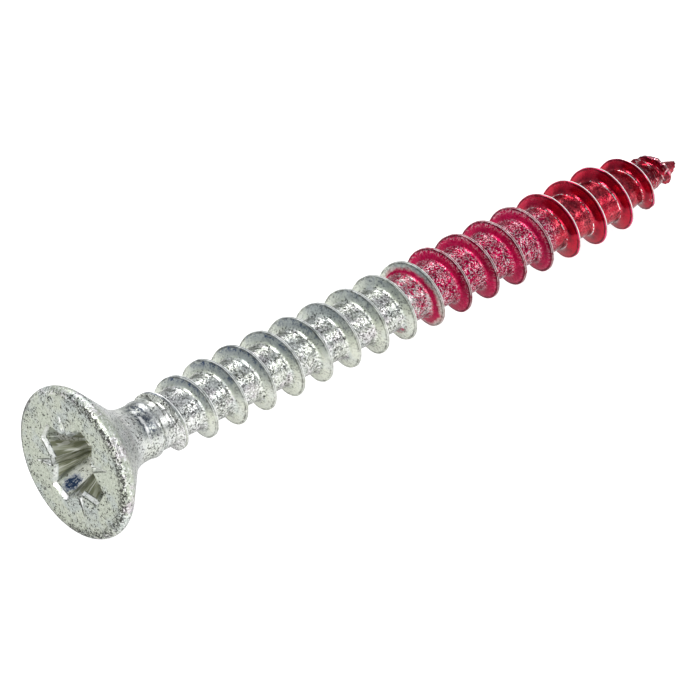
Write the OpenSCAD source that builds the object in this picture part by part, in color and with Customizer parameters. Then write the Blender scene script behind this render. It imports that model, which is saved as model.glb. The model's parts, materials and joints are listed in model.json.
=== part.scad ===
// Multi-purpose wood screw, countersunk head, cross recess with corner ribs, lacquered front half.
// One forged and rolled piece of steel. It is drawn along its own axis, with distances measured from
// the flat of the head, and then laid down as it comes to rest on a surface, head to the left.

/* [Screw] */
// Length from the flat of the head to the point
length = 40.2; // [38:0.1:42]
// Diameter over the thread
thread_d = 3.75; // [3.6:0.05:4]
// Diameter of the core between the turns of thread
core_d = 2.45; // [2.2:0.05:2.6]
// Distance along the axis from one turn of thread to the next
pitch = 1.85; // [1.75:0.01:1.95]

/* [Head] */
// Diameter of the head
head_d = 7.85; // [7.5:0.05:8.2]
// Angle between opposite sides of the cone under the head
cone_angle = 90; // [80:1:95]
// Radius of the rounded rim
rim_r = 0.38; // [0.3:0.02:0.5]
// Radius of the hollow curve from the cone into the neck
throat_r = 2.2; // [1.6:0.1:2.4]

/* [Neck] */
// Diameter of the plain neck
neck_d = 2.86; // [2.8:0.02:2.9]
// Distance from the flat of the head to the end of the neck
neck_end = 4.7; // [4.5:0.05:4.8]
// Height of the lip that the thread rolls leave round the end of the neck
lip_h = 0.05; // [0.02:0.01:0.1]
// Width of that lip
lip_w = 0.35; // [0.2:0.05:0.5]

/* [Thread] */
// Width of the flat on the crest
crest_w = 0.12; // [0.08:0.01:0.2]
// Lean of each flank from square to the axis
flank_angle = 19; // [15:1:24]
// Width of the small curve at the foot of each flank
foot_w = 0.16; // [0.1:0.01:0.2]
// Diameter over the first turn, beside the neck
first_turn_d = 3.25; // [3:0.05:3.4]
// Diameter of the blank beside the neck, before the thread has its full depth
blank_d = 2.66; // [2.5:0.02:2.72]
// Distance from the flat of the head to where the thread has its full height
full_thread_at = 8.8; // [8:0.1:11]

/* [Point] */
// Length over which the core tapers to the point
core_taper = 4.4; // [3.8:0.1:5]
// Length over which the thread gets lower towards the point
thread_taper = 5.35; // [5.1:0.05:5.6]
// How far the thread has come down, on the radius, where the point's own cone cuts it off
thread_drop = 0.66; // [0.6:0.01:0.7]
// Length of the cone that cuts the thread off at the point
point_l = 1.85; // [1.6:0.05:2]
// Diameter of the blunt end of the point
point_d = 0.34; // [0.2:0.02:0.4]

/* [Recess] */
// Distance across opposite wings at the face of the head
recess_d = 4.6; // [4.2:0.05:4.8]
// Width of a wing below its flared edge
wing_w = 0.96; // [0.86:0.01:1.06]
// Width of a wing at the face
mouth_w = 1.16; // [1.08:0.01:1.24]
// Depth of the flared edge
edge_depth = 0.26; // [0.18:0.02:0.4]
// Distance across the inner corners between the wings, at the face
corner_d = 3; // [2.8:0.05:3.1]
// Depth of the recess
recess_depth = 2.3; // [2:0.05:2.5]
// Distance across opposite wings at the bottom of the recess
recess_bottom_d = 2.7; // [2.4:0.05:2.9]
// Width of a rib slot, which runs down each corner between the wings
rib_w = 0.34; // [0.28:0.02:0.4]
// Distance across opposite rib slots at the face
rib_d = 3.24; // [3.15:0.02:3.4]
// Distance across opposite rib slots where the walls end
rib_bottom_d = 2.28; // [2.1:0.02:2.4]
// Width of a mark between the wings, where it leaves the recess
mark_w = 0.34; // [0.26:0.02:0.4]
// Depth of a mark there
mark_depth = 0.14; // [0.08:0.01:0.18]
// Distance across the outer ends of opposite marks
mark_reach_d = 5.44; // [5.2:0.04:5.6]

/* [Lacquer] */
// Distance from the flat of the head to where the red lacquer begins
lacquer_from = 20.4; // [17:0.1:24]

/* [Hidden] */

// Facets round one turn of the thread
turn_facets = 32;
// Steps along each curve of the head's outline
arc_steps = 8;
// Turn of the wings and marks about the axis, from the side that the screw lies on
recess_turn = 22;
// Turns of thread that begin hidden inside the neck
hidden_turns = 1.125;
// Where the hidden start of the ridge passes the side that the screw lies on
thread_from = neck_end - hidden_turns * pitch;
// Angles between neighbouring wings
wing_step = 90;
// Smallest height given to the ridge, where it is still hidden inside the neck
ridge_min = 0.02;
// Part of a flank's height that the foot curve takes
foot_share = 0.16;
// Power of the slow curve in which the thread comes down towards the point
drop_power = 1.57;
// Part of the recess's depth that the leaning ends of its wings take
wing_end_share = 0.8;
// How far a wing's flared edge reaches beyond its own end at the face
end_flare = 0.05;
// How far the ends of the wings lean in, over their depth
wing_end_slope =
    (recess_d / 2 - end_flare - recess_bottom_d / 2) / (wing_end_share * recess_depth);
// Depth at which the mouth of the recess between the wings would close, over the recess's depth
mouth_share = 1.3;
// How much smaller the mouth is where it closes
mouth_taper = 20;
// How far cutting shapes stand clear of the face that they cut
clear = 0.5;
cone_lean = cone_angle / 2;
neck_r = neck_d / 2;

// Turns of thread from the start to just short of the point
tip_margin = 0.35;
rows = round((length - tip_margin - thread_from) / pitch * turn_facets);
lacquer_row = round((lacquer_from - thread_from) / pitch * turn_facets);

// Straight line from one value to another, held level beyond both ends
function ramp(x, x0, x1, y0, y1) =
    x <= x0 ? y0 : x >= x1 ? y1 : y0 + (y1 - y0) * (x - x0) / (x1 - x0);

// Points round part of a circle, as [radius, distance from the flat of the head]
function arc(centre, r, from, to) =
    [for (i = [0 : arc_steps]) let (a = from + (to - from) * i / arc_steps)
        centre + r * [cos(a), sin(a)]];

// Radius of the core at a distance s from the flat of the head
function core_r(s) =
    s < length - core_taper
        ? ramp(s, neck_end + 0.4 * pitch, neck_end + 1.1 * pitch, blank_d / 2, core_d / 2)
        : ramp(s, length - core_taper, length, core_d / 2, point_d / 2);

// Radius of the crest where the thread rises out of the blank beside the neck
function rising_crest_r(s) =
    s < neck_end + 0.3 * pitch
        ? ramp(s, neck_end, neck_end + 0.3 * pitch, blank_d / 2, first_turn_d / 2)
        : ramp(s, neck_end + 0.3 * pitch, full_thread_at, first_turn_d / 2, thread_d / 2);

// Radius of the crest where it comes down in a slow curve towards the point
function falling_crest_r(s) =
    let (run = max(0, s - (length - thread_taper)) / (thread_taper - point_l))
    thread_d / 2 - thread_drop * pow(run, drop_power);

// Radius of the cone that cuts the thread off at the point
function point_cone_r(s) =
    point_d / 2 + (length - s) * (thread_d / 2 - thread_drop - point_d / 2) / point_l;

// Height of the ridge over the core
function ridge_h(s) =
    max(ridge_min, min(rising_crest_r(s), falling_crest_r(s), point_cone_r(s)) - core_r(s));

// Outline of the ridge, as [distance along the axis from its middle, radius], for its middle at s
function ridge_outline(s) =
    let (h = ridge_h(s), half = crest_w / 2, lean = tan(flank_angle), r = core_r(s))
    [
        [-half - h * lean - foot_w, 0],
        [-half - h * (1 - foot_share) * lean, foot_share * h],
        [-half, h],
        [half, h],
        [half + h * (1 - foot_share) * lean, foot_share * h],
        [half + h * lean + foot_w, 0]
    ];
outline_n = 6;

// Corner j of the ridge's outline in row i, on the helix
function thread_point(i, j) =
    let (middle = thread_from + pitch * i / turn_facets, p = ridge_outline(middle)[j])
    let (s = min(middle + p[0], length), r = core_r(s) + p[1], a = 360 * i / turn_facets)
    [r * cos(a), r * sin(a), s];

// The threaded shank between two rows of the helix, closed at each end by a fan of triangles to a
// point on the axis. A row is one facet's turn, and the end of a run follows the foot of the ridge
// for one whole turn, so that the next run fits it exactly.
module thread_run(first, last, from_s, to_s) {
    n = outline_n;
    low = first - turn_facets;
    points = concat(
        [for (i = [low : last], j = [0 : n - 1]) thread_point(i, j)],
        [[0, 0, from_s], [0, 0, to_s]]
    );
    from_point = len(points) - 2;
    to_point = len(points) - 1;
    function at(i, j) = (i - low) * n + j;
    // The edge where a run ends: the foot of the ridge for one turn, then across the ridge
    function end_edge(row) = concat(
        [for (i = [row - turn_facets : row]) at(i, n - 1)],
        [for (j = [n - 2 : -1 : 0]) at(row, j)]
    );
    function fan(edge, centre) =
        [for (k = [0 : len(edge) - 1]) [edge[k], edge[(k + 1) % len(edge)], centre]];
    function turned(faces) = [for (f = faces) [f[0], f[2], f[1]]];
    ridge = [
        for (i = [first : last - 1], j = [0 : n - 2])
            each [
                [at(i, j), at(i, j + 1), at(i + 1, j + 1)],
                [at(i, j), at(i + 1, j + 1), at(i + 1, j)]
            ]
    ];
    groove = [
        for (i = [low : last - turn_facets - 1])
            each [
                [at(i, n - 1), at(i + turn_facets, 0), at(i + 1 + turn_facets, 0)],
                [at(i, n - 1), at(i + 1 + turn_facets, 0), at(i + 1, n - 1)]
            ]
    ];
    polyhedron(
        points,
        concat(ridge, groove, fan(end_edge(first), from_point), turned(fan(end_edge(last), to_point)))
    );
}

// Distance along the axis at which a run that stops at a row has its middle
function row_s(row) = thread_from + pitch * (row / turn_facets - 0.5);

module zinc_thread() {
    color("lightgray")
        thread_run(turn_facets, lacquer_row, row_s(turn_facets), row_s(lacquer_row));
}

module lacquered_thread() {
    color("crimson")
        thread_run(lacquer_row, rows, row_s(lacquer_row), length);
}

// The head, its throat and the neck, turned about the axis
rim_centre = [head_d / 2 - rim_r, rim_r];
// The cone leaves the rim, and meets the throat, square to this direction
cone_normal = [cos(cone_lean), sin(cone_lean)];
throat_at = let (edge = rim_centre + rim_r * cone_normal)
    // Distance along the axis of the throat's centre, which lies throat_r outside the cone and neck
    edge[1] + (edge[0] - neck_r - throat_r * (1 - cone_normal[0])) * cone_normal[0] / cone_normal[1]
        + throat_r * cone_normal[1];

module head_and_neck() {
    rim = arc(rim_centre, rim_r, -90, cone_lean);
    throat = arc([neck_r + throat_r, throat_at], throat_r, 180 + cone_lean, 180);
    lip = [
        [neck_r, neck_end - lip_w],
        [neck_r + lip_h, neck_end - 0.7 * lip_w],
        [neck_r + lip_h, neck_end - 0.3 * lip_w],
        [neck_r - 0.5 * lip_h, neck_end]
    ];
    color("silver")
        rotate_extrude($fn = 96)
            polygon(concat([[0, 0]], rim, throat, lip, [[0, neck_end]]));
}

// Outline of the recess at the face: four wings, with a corner between each two
function recess_outline() = [
    for (k = [0 : 3])
        let (reach = sqrt(pow(recess_d / 2, 2) - pow(mouth_w / 2, 2)))
        each [
            for (side = [-1, 1])
                let (a = k * wing_step + side * atan(mouth_w / 2 / reach))
                recess_d / 2 * [cos(a), sin(a)],
            corner_d / 2 * [cos((k + 0.5) * wing_step), sin((k + 0.5) * wing_step)]
        ]
];

// Two crossed blades of a width, whose ends lean in from one reach at the face to another where
// the walls of the recess end, and whose lower edges run to the middle of its bottom
module crossed_blades(width, top, bottom) {
    end_depth = wing_end_share * recess_depth;
    slope = (top - bottom) / end_depth;
    for (a = [0, wing_step])
        rotate([90, 0, a])
            linear_extrude(width, center = true)
                polygon([
                    [-top - clear * slope, -clear],
                    [top + clear * slope, -clear],
                    [bottom, end_depth],
                    [0, recess_depth],
                    [-bottom, end_depth]
                ]);
}

// Reach of the wings' own ends at a distance below the face, from the axis
function wing_end_r(depth) =
    recess_d / 2 - end_flare - depth * wing_end_slope;

// The flared edges of two opposite wings. Their sides and ends lean in until they pass through the
// walls of the blades at edge_depth, and the cut ends as far below that, inside the blades.
module flared_edge() {
    side_slope = (mouth_w - wing_w) / 2 / edge_depth;
    end_slope = (recess_d / 2 - wing_end_r(edge_depth)) / edge_depth;
    // Length and width where the cut starts, clear of the face, and where it ends
    start = [recess_d + 2 * clear * end_slope, mouth_w + 2 * clear * side_slope];
    end = [recess_d - 4 * edge_depth * end_slope, mouth_w - 4 * edge_depth * side_slope];
    translate([0, 0, -clear])
        linear_extrude(clear + 2 * edge_depth, scale = [end[0] / start[0], end[1] / start[1]])
            square(start, center = true);
}

module recess() {
    crossed_blades(wing_w, wing_end_r(0), recess_bottom_d / 2);
    rotate([0, 0, wing_step / 2])
        crossed_blades(rib_w, rib_d / 2, rib_bottom_d / 2);
    for (a = [0, wing_step])
        rotate([0, 0, a])
            flared_edge();
    // The star between the wings, which narrows to nothing inside the blades
    mouth_depth = mouth_share * recess_depth;
    grow = (mouth_depth + clear) / mouth_depth;
    translate([0, 0, mouth_depth])
        mirror([0, 0, 1])
            linear_extrude(mouth_depth + clear, scale = mouth_taper)
                scale(grow / mouth_taper)
                    polygon(recess_outline());
}

// Four shallow marks that show the kind of recess, one between each two wings. A mark is a V-shaped
// groove whose bottom line leans, so that it narrows to nothing at its outer end.
module marks() {
    run = (mark_reach_d - corner_d) / 2;
    lean = atan(mark_depth / run);
    wide = mark_w / 2 * (1 + clear / mark_depth);
    for (k = [0 : 3])
        rotate([0, 0, (k + 0.5) * wing_step])
            translate([mark_reach_d / 2, 0, 0])
                rotate([0, lean - 90, 0])
                    linear_extrude(run / cos(lean))
                        polygon([[0, 0], [-mark_depth - clear, -wide], [-mark_depth - clear, wide]]);
}

module screw() {
    difference() {
        union() {
            head_and_neck();
            zinc_thread();
            lacquered_thread();
        }
        rotate([0, 0, recess_turn]) {
            recess();
            marks();
        }
    }
}

// Lying down: the rim of the head and one turn of full thread near the point touch the surface
last_turn = floor((length - thread_taper - thread_from) / pitch);
rest_s = thread_from + pitch * last_turn + crest_w / 2;
reach = [rest_s - rim_centre[1], rim_centre[0] - thread_d / 2];
tilt = atan2(reach[1], reach[0]) + asin(rim_r / norm(reach));
axis_height = rim_centre[1] * sin(tilt) + rim_centre[0] * cos(tilt) + rim_r;
middle_x = (length * cos(tilt) - (rim_centre[0] * sin(tilt) + rim_r - rim_centre[1] * cos(tilt))) / 2;

module placed() {
    translate([-middle_x, 0, axis_height])
        rotate([0, 90 + tilt, 0])
            children();
}

placed() screw();
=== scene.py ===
# %% [markdown]
# # A zinc-plated wood screw with a red lacquered front half
# The real object is one piece of steel. Its head is forged with a cross recess, its thread is
# rolled, and the whole is plated with zinc. The front half is then dipped in clear red lacquer.
# The packed model holds the form at its real size. Here the same form is made again with finer
# steps, worn edges and its two finishes. Sizes are in millimetres along the screw's own axis,
# measured from the flat of the head, and one matrix lays the finished mesh down in the frame. The
# other way would be to drape detail over the packed mesh, but its facets would show through it.

import json
import math

import bmesh
import bpy
import numpy as np
from mathutils import Matrix, Vector


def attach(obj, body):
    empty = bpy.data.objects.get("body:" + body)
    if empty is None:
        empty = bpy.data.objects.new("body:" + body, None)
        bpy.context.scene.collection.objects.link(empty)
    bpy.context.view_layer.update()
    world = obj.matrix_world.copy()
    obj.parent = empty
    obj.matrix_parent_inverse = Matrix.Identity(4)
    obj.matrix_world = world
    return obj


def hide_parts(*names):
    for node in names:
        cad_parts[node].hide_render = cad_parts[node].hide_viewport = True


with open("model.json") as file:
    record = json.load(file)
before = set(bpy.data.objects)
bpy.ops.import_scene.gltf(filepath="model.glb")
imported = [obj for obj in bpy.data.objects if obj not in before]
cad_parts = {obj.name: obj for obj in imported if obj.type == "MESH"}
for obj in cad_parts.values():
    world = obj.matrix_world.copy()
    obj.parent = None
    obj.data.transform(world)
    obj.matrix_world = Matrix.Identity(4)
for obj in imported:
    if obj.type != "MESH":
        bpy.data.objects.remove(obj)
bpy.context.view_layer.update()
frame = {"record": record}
record = frame["record"]
MM = 0.001

# %% [markdown]
# ## Where the screw lies
# The record states the recess as a mount, with its place on the flat of the head and the direction
# in which the driver leaves. That gives the screw's own axes: z runs from the head to the point,
# x points at the surface that it lies on, and y is square to both.

# %% The screw's own axes
recess_mount = next(m for m in record["mounts"] if m["name"] == "drive_recess")
head_centre = Vector(recess_mount["pos_m"])
along = -Vector(recess_mount["axis"]).normalized()
across = Vector((0, 1, 0))
down = across.cross(along).normalized()
own_axes = Matrix((down, across, along)).transposed()
lay_down = Matrix.Translation(head_centre) @ own_axes.to_4x4() @ Matrix.Scale(MM, 4)
print("lean of the axis in degrees:", round(math.degrees(math.asin(-along.z)), 3))

# %% [markdown]
# ## The camera
# The photograph was taken with a long lens from the side of the head, looking down. The outline of
# the screw in it fixes the view: its direction, its distance and the place of the head in the
# picture. The distances are in millimetres, and the angles in degrees.

# %% Camera
VIEW_RIGHT_OF_Y = -42.58
VIEW_DOWN = 38.05
LENS_MM = 406.7
SENSOR_MM = 36.0
HEAD_LEFT_OF_VIEW = 13.103
HEAD_BELOW_VIEW = 5.568
HEAD_DISTANCE = 372.7
NEAREST_M = 0.01
FARTHEST_M = 10


def view_axes(azimuth, elevation):
    """Right, up and forward of a view that looks down by the elevation."""
    a, e = math.radians(azimuth), math.radians(elevation)
    forward = Vector((-math.sin(a) * math.cos(e), math.cos(a) * math.cos(e), -math.sin(e)))
    right = Vector((math.cos(a), math.sin(a), 0))
    return right, right.cross(forward), forward


right, up, forward = view_axes(VIEW_RIGHT_OF_Y, VIEW_DOWN)
camera = bpy.data.objects.new("camera", bpy.data.cameras.new("camera"))
camera.data.lens = LENS_MM
camera.data.sensor_width = SENSOR_MM
camera.data.clip_start = NEAREST_M
camera.data.clip_end = FARTHEST_M
eye = head_centre + MM * (HEAD_LEFT_OF_VIEW * right + HEAD_BELOW_VIEW * up - HEAD_DISTANCE * forward)
camera.matrix_world = Matrix.Translation(eye) @ Matrix((right, up, -forward)).transposed().to_4x4()
bpy.context.scene.collection.objects.link(camera)
bpy.context.scene.camera = camera
print("camera at", [round(v, 4) for v in eye])

# %% [markdown]
# ## Node trees as expressions
# A long formula is hard to follow as a row of boxes. One small class wraps a socket, so that
# Python's own operators add the Math nodes, and one method adds every other kind of node. It
# serves both the tree that builds the thread and the trees that colour. A ramp and a band turn a
# measure into a share from 0 to 1.

# %% Sockets with operators


class Socket:
    """A value in a node tree. An expression of values adds the Math nodes that it needs."""

    def __init__(self, graph, socket):
        self.graph = graph
        self.socket = socket

    def maths(self, operation, *others):
        return self.graph.add("ShaderNodeMath", {"operation": operation}, self, *others)

    def __add__(self, other):
        return self.maths("ADD", other)

    def __sub__(self, other):
        return self.maths("SUBTRACT", other)

    def __mul__(self, other):
        return self.maths("MULTIPLY", other)

    def __truediv__(self, other):
        return self.maths("DIVIDE", other)

    def __pow__(self, other):
        return self.maths("POWER", other)

    def __rsub__(self, other):
        return self.graph.add("ShaderNodeMath", {"operation": "SUBTRACT"}, other, self)

    def __rtruediv__(self, other):
        return self.graph.add("ShaderNodeMath", {"operation": "DIVIDE"}, other, self)

    __radd__ = __add__
    __rmul__ = __mul__

    def least(self, other):
        return self.maths("MINIMUM", other)

    def most(self, other):
        return self.maths("MAXIMUM", other)

    def above(self, other):
        return self.maths("GREATER_THAN", other)

    def held(self):
        return self.graph.add("ShaderNodeClamp", {}, self)

    def ramp(self, x0, x1, y0=0.0, y1=1.0, smooth=False):
        kind = "SMOOTHSTEP" if smooth else "LINEAR"
        return self.graph.add("ShaderNodeMapRange", {"interpolation_type": kind}, self, x0, x1, y0, y1)

    def band(self, start, full, fades, end):
        """0 up to the start, 1 from full until it fades, and 0 again past the end."""
        return self.ramp(start, full) * self.ramp(end, fades)

    def out(self, name):
        """Another output of the same node."""
        return Socket(self.graph, self.socket.node.outputs[name])


class Graph:
    """A node tree under construction."""

    def __init__(self, tree):
        self.tree = tree
        self.nodes = tree.nodes

    def add(self, kind, settings, *values, **named):
        """A node of that type. Its settings come first, then its sockets by place or by name."""
        node = self.nodes.new(kind)
        for name, value in settings.items():
            setattr(node, name, value)
        for place, value in enumerate(values):
            self.feed(node.inputs[place], value)
        for name, value in named.items():
            label = name.replace("_", " ")
            self.feed(next(i for i in node.inputs if i.name == label and i.enabled), value)
        shown = [socket for socket in node.outputs if socket.enabled]
        return Socket(self, shown[0] if shown else None) if node.outputs else node

    def feed(self, target, value):
        if isinstance(value, Socket):
            self.tree.links.new(value.socket, target)
        elif value is not None:
            target.default_value = value


print("a value can be used as:", ", ".join(n for n in vars(Socket) if not n.startswith("_")))

# %% [markdown]
# ## Sizes of the shank
# These follow the packed model, in millimetres. The real thread is rolled between two dies, which
# leave a flat crest with a lip on each side. The profile of a turn is symmetrical, so it is given
# from the middle of the crest to the groove, and the other half is its mirror image.

# %% Driving sizes of the shank
LENGTH = 40.2
PITCH = 1.85
CORE_R = 1.225
THREAD_R = 1.875
NECK_R = 1.43
NECK_END = 4.7
SHANK_FROM = 4.78
SETTLED_AT = SHANK_FROM + 0.3
BLANK_R = 1.33
BLANK_THINS = (NECK_END + 0.4 * PITCH, NECK_END + 1.1 * PITCH)
FIRST_TURN_R = 1.625
FIRST_TURN_AT = NECK_END + 0.3 * PITCH
FULL_THREAD_AT = 8.8
CORE_TAPER = 4.4
THREAD_TAPER = 5.35
THREAD_DROP = 0.66
DROP_CURVE = 1.57
POINT_L = 1.85
POINT_R = 0.27
POINT_EDGE = 0.1
RIDGE_STOPS = 0.4
FAINT_RIDGE = 0.2
HIDDEN_TURNS = 1.125
FLANK_LEAN = math.tan(math.radians(19))
COLUMNS = 120
THREAD_FROM = NECK_END - HIDDEN_TURNS * PITCH
print("turns of thread:", round((LENGTH - NECK_END) / PITCH, 1))

# %% Profile of one turn
# Each entry is: distance outside the flank's line, share of the ridge's height
crest_points = [(0.0, 0.962), (0.024, 0.982), (0.042, 1.0), (0.058, 0.992), (0.066, 0.955)]
flank_points = [(0.066, 0.85), (0.067, 0.62), (0.069, 0.4), (0.078, 0.22)]
foot_points = [(0.105, 0.1), (0.15, 0.03), (0.22, 0.0)]
CREST_EDGE = 0.95
CREST_LIP = 0.042
VALLEY_ABOVE = 0.9
GROOVE_STEPS = 6


def turn_profile():
    """One pitch of the outline, from crest to crest, as (outside, height share, groove share)."""
    half = [(e, p, 0.0) for e, p in crest_points + flank_points + foot_points]
    foot = foot_points[-1][0]
    groove = [(foot, 0.0, k / GROOVE_STEPS) for k in range(1, GROOVE_STEPS)]
    return half + groove + [(e, p, 1.0) for e, p, g in reversed(half)]


profile = turn_profile()
profile_mesh = bpy.data.meshes.new("turn_profile")
profile_mesh.from_pydata(profile, [], [])
profile_holder = bpy.data.objects.new("turn_profile", profile_mesh)
bpy.context.scene.collection.objects.link(profile_holder)
print("points across one pitch:", len(profile))

# %% How the first and the last turns differ
# A ramp along the screw is: from, to, and its two values if they aren't 0 and 1. FOLDED is a band
FIRST_WIDE = (NECK_END + 0.2, NECK_END + 2 * PITCH, 1.0, 0.0)
LAST_WIDE = (LENGTH - 3.0, LENGTH - 2.3)
WIDER_BY = 1.6
FIRST_VALLEY = 0.12
LAST_VALLEY = 0.3
RAGGED = (LENGTH - 3.0, LENGTH - 1.8, 2.0, 16.0)
LUMPY = (LENGTH - 3.0, LENGTH - 2.2, 0.0, 0.45)
FOLDED = (LENGTH - 2.7, LENGTH - 2.2, LENGTH - 1.2, LENGTH - 0.8)
FOLD_AT = 0.5
FOLD_H = 0.03
UNEVENNESS = 0.045
WOBBLE = {"Scale": 2.3, "Detail": 2.0}
WOBBLE_LEVEL = 0.6
LUMPS = {"Scale": 3.5, "Detail": 1.0}
LUMPS_LEVEL = 0.5
MARKS_LONGER = 0.7
LOWER_SIDE = math.radians(-30)
POINT_BENDS_FROM = LENGTH - 1.1
POINT_BEND = 0.1
POINT_CUT = 0.95
CUT_FROM = 0.92 * POINT_R
print("the ridge is uneven from", RAGGED[0], "mm")

# %% [markdown]
# ## The threaded shank
# A rolled thread follows a rule, so Geometry Nodes make it: a flat grid is wound into a helix. Its
# rows follow the turns, and its columns are the profile's points, so every crest stays a clean line
# however fine it is. Both long edges of the strip meet the next turn and are merged with it. Where
# the strip would run past the neck or the point, it is held there, and what collapses is merged.
# A Screw modifier would be simpler, but the core, the ridge and the point each follow a rule of
# their own. Two attributes are stored for the finish: the rise of the thread over its core, and
# on which side of a crest a point lies.

# %% Build the tree of the shank
MERGE_WITHIN = 0.002
finish_material = bpy.data.materials.new("zinc_and_red_lacquer")


def shank_tree():
    """The tree, and the value of each of its inputs by the socket's identifier."""
    tree = bpy.data.node_groups.new("rolled_thread", "GeometryNodeTree")
    inputs = {}
    for name, kind, value in (
        ("Profile", "NodeSocketObject", profile_holder),
        ("Rows", "NodeSocketInt", round((LENGTH - THREAD_FROM) / PITCH * COLUMNS)),
        ("Pitch", "NodeSocketFloat", PITCH),
        ("Core radius", "NodeSocketFloat", CORE_R),
        ("Thread radius", "NodeSocketFloat", THREAD_R),
        ("Unevenness", "NodeSocketFloat", UNEVENNESS),
        ("Material", "NodeSocketMaterial", finish_material),
    ):
        socket = tree.interface.new_socket(name, in_out="INPUT", socket_type=kind)
        inputs[socket.identifier] = value
    tree.interface.new_socket("Geometry", in_out="OUTPUT", socket_type="NodeSocketGeometry")
    g = Graph(tree)
    given = g.add("NodeGroupInput", {})
    rows = given.out("Rows")
    pitch = given.out("Pitch")
    core = given.out("Core radius")
    full = given.out("Thread radius")

    grid = g.add("GeometryNodeMeshGrid", {}, 1.0, 1.0, rows + 1, len(profile))
    spot = g.add("GeometryNodeInputPosition", {})
    parts = g.add("ShaderNodeSeparateXYZ", {}, spot)
    row = ((parts.out("X") + 0.5) * rows).maths("ROUND")
    column = ((parts.out("Y") + 0.5) * (len(profile) - 1)).maths("ROUND")
    turns = row / COLUMNS
    middle = THREAD_FROM + pitch * turns

    shape = g.add("GeometryNodeObjectInfo", {}, given.out("Profile")).out("Geometry")
    sample = g.add(
        "GeometryNodeSampleIndex",
        {"data_type": "FLOAT_VECTOR", "domain": "POINT"},
        Geometry=shape,
        Value=spot,
        Index=column,
    )
    point = g.add("ShaderNodeSeparateXYZ", {}, sample)
    outside, share, groove = point.out("X"), point.out("Y"), point.out("Z")

    def core_at(s):
        near = s.ramp(*BLANK_THINS, BLANK_R, CORE_R, smooth=True)
        far = s.ramp(LENGTH - CORE_TAPER, LENGTH, 0.0, 1.0)
        cone = near - far * (core - POINT_R)
        # The point ends in a small flat with a rounded edge
        short = (LENGTH - s).ramp(POINT_EDGE, 0.0)
        return cone * (1 - short**4) ** 0.25

    def crest_at(s):
        rise = s.ramp(NECK_END, FIRST_TURN_AT, BLANK_R, FIRST_TURN_R)
        settle = s.ramp(FIRST_TURN_AT, FULL_THREAD_AT, 0.0, 1.0) * (full - FIRST_TURN_R)
        run = (s - (LENGTH - THREAD_TAPER)).most(0.0) / (THREAD_TAPER - POINT_L)
        fall = full - THREAD_DROP * run**DROP_CURVE
        cone = (LENGTH - s) * ((THREAD_R - THREAD_DROP - POINT_R) / POINT_L) + POINT_R
        return (rise + settle).least(fall).least(cone)

    def ridge(s):
        height = (crest_at(s) - core_at(s)).most(0.0)
        foot = outside + (CREST_EDGE - share).most(0.0) * height * FLANK_LEAN
        return height, foot

    # The first and the last crest are wide, with a valley between two lips
    reached = middle + pitch * groove
    first = reached.ramp(*FIRST_WIDE)
    last = reached.ramp(*LAST_WIDE)
    crest = outside.least(CREST_LIP)
    outside = outside + crest * (first + last) * WIDER_BY
    height, foot = ridge(middle)
    next_height, next_foot = ridge(middle + pitch)
    start = middle + foot
    stop = middle + pitch - next_foot
    s = (start + (stop - start) * groove).most(SHANK_FROM).least(LENGTH)
    valley = first * FIRST_VALLEY + last * LAST_VALLEY
    valley = valley * (1 - crest / CREST_LIP) * share.above(VALLEY_ABOVE)
    rise = (share - valley) * (height + (next_height - height) * groove)
    rise = rise * ((LENGTH - s) / RIDGE_STOPS).held()
    angle = turns * (2 * math.pi)
    cosine = angle.maths("COSINE")
    sine = angle.maths("SINE")
    place = g.add("ShaderNodeCombineXYZ", {}, cosine, sine, s * MARKS_LONGER)
    wobble = g.add("ShaderNodeTexNoise", {}, Vector=place, **WOBBLE) - WOBBLE_LEVEL
    # The last turns, rolled against the end of the wire, are the most uneven, with a fold between
    uneven = wobble * given.out("Unevenness") * rise * s.ramp(*RAGGED)
    lumps = g.add("ShaderNodeTexNoise", {}, Vector=place, **LUMPS) - LUMPS_LEVEL
    uneven = uneven + lumps * rise * s.ramp(*LUMPY)
    fold = (groove - FOLD_AT).maths("ABSOLUTE").ramp(1 / GROOVE_STEPS, 0.0)
    fold = fold * s.band(*FOLDED) * FOLD_H
    radius = core_at(s) + rise + uneven + fold
    settled = s.ramp(SHANK_FROM, SETTLED_AT)
    radius = BLANK_R + (radius - BLANK_R) * settled
    x = radius * cosine
    y = radius * sine
    # The point is cut off aslant and bent a little towards its lower side
    near_point = s.ramp(POINT_BENDS_FROM, LENGTH)
    lower = x * math.cos(LOWER_SIDE) + y * math.sin(LOWER_SIDE) + CUT_FROM
    bend = near_point * POINT_BEND
    end = g.add(
        "ShaderNodeCombineXYZ",
        {},
        x + bend * math.cos(LOWER_SIDE),
        y + bend * math.sin(LOWER_SIDE),
        s - lower * near_point * POINT_CUT,
    )
    # Both are stored while the grid is flat, because they are worked out from flat positions
    stored = grid
    for name, value in (
        ("rise", share * (height / FAINT_RIDGE).held() * settled),
        ("point_side", (1 - groove) * settled),
    ):
        stored = g.add(
            "GeometryNodeStoreNamedAttribute",
            {"data_type": "FLOAT", "domain": "POINT"},
            Geometry=stored,
            Name=name,
            Value=value,
        )
    wound = g.add("GeometryNodeSetPosition", {}, Geometry=stored, Position=end)
    merged = g.add("GeometryNodeMergeByDistance", {}, Geometry=wound, Distance=MERGE_WITHIN)
    real = g.add("GeometryNodeRealizeInstances", {}, Geometry=merged)
    dressed = g.add("GeometryNodeSetMaterial", {}, Geometry=real, Material=given.out("Material"))
    g.add("NodeGroupOutput", {}, Geometry=dressed)
    return tree, inputs


thread_tree, thread_inputs = shank_tree()
print("nodes in the tree:", len(thread_tree.nodes))

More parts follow.
